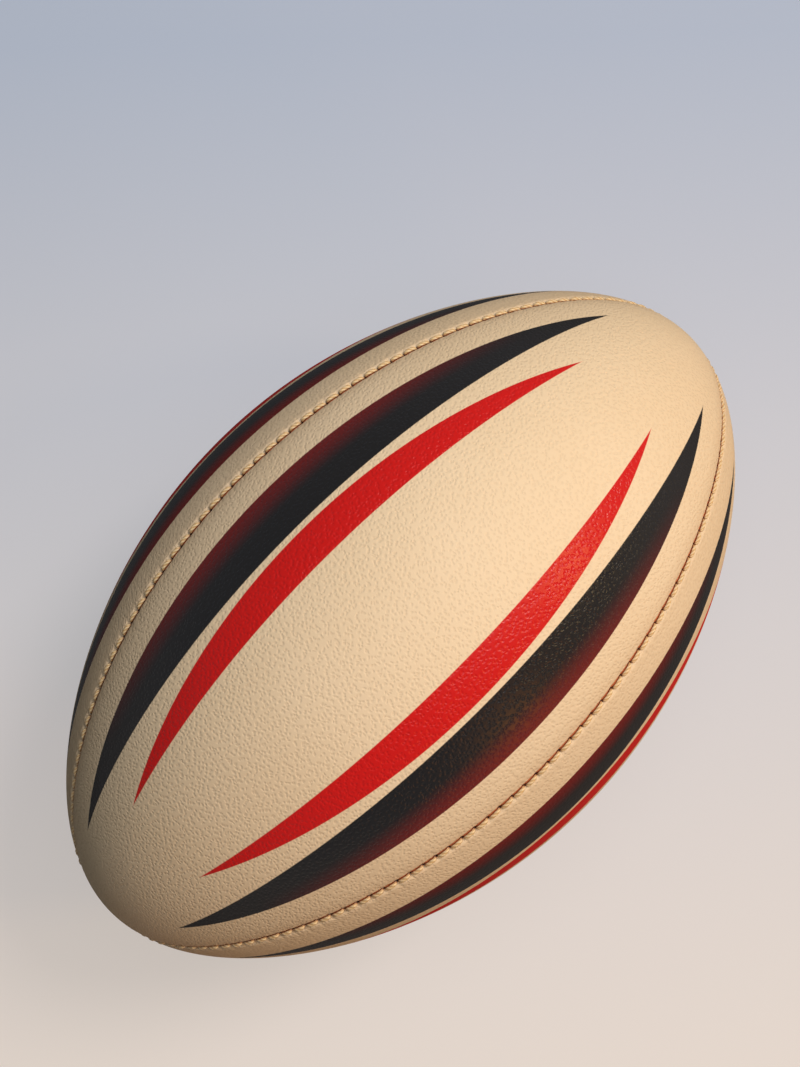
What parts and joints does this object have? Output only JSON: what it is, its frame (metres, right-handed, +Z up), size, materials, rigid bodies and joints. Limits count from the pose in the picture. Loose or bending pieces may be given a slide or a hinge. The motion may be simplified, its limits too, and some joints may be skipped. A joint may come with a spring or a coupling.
{
  "type": "rugby ball",
  "caption": "Oval rugby ball of stitched grained panels lined with cloth plies, with an inner bladder and a push-in needle valve.",
  "frame": {"origin": "centre of the ball", "axes": "+X along the long axis, +Z up through the middle of the top panel, +Y out through the valve in the back panel"},
  "size_m": [0.2948, 0.185, 0.185],
  "materials": {
    "cover": "grained synthetic leather, printed",
    "polyester": "plain woven polyester",
    "cotton": "plain woven cotton",
    "thread": "waxed polyester thread",
    "bladder_rubber": "smooth moulded rubber",
    "canvas": "coarse canvas",
    "valve_rubber": "moulded rubber",
    "core_rubber": "moulded rubber"
  },
  "bodies": {
    "ball": {"cover_panel_top": "cover", "cover_panel_front": "cover", "cover_panel_bottom": "cover", "cover_panel_back": "cover", "polyester_ply_top": "polyester", "polyester_ply_front": "polyester", "polyester_ply_bottom": "polyester", "polyester_ply_back": "polyester", "cotton_ply_top": "cotton", "cotton_ply_front": "cotton", "cotton_ply_bottom": "cotton", "cotton_ply_back": "cotton", "seam_thread_top_front": "thread", "seam_thread_front_bottom": "thread", "seam_thread_bottom_back": "thread", "seam_thread_back_top": "thread", "end_knot_left": "thread", "end_knot_right": "thread", "bladder": "bladder_rubber", "valve_patch": "canvas", "valve_seat": "valve_rubber"},
    "valve_core": {"valve_core": "core_rubber"}
  },
  "joints": [
    {"name": "valve_core_pull", "type": "slide", "parent": "ball", "child": "valve_core", "axis": [0, 1, 0], "range_m": [0, 0.02]}
  ]
}
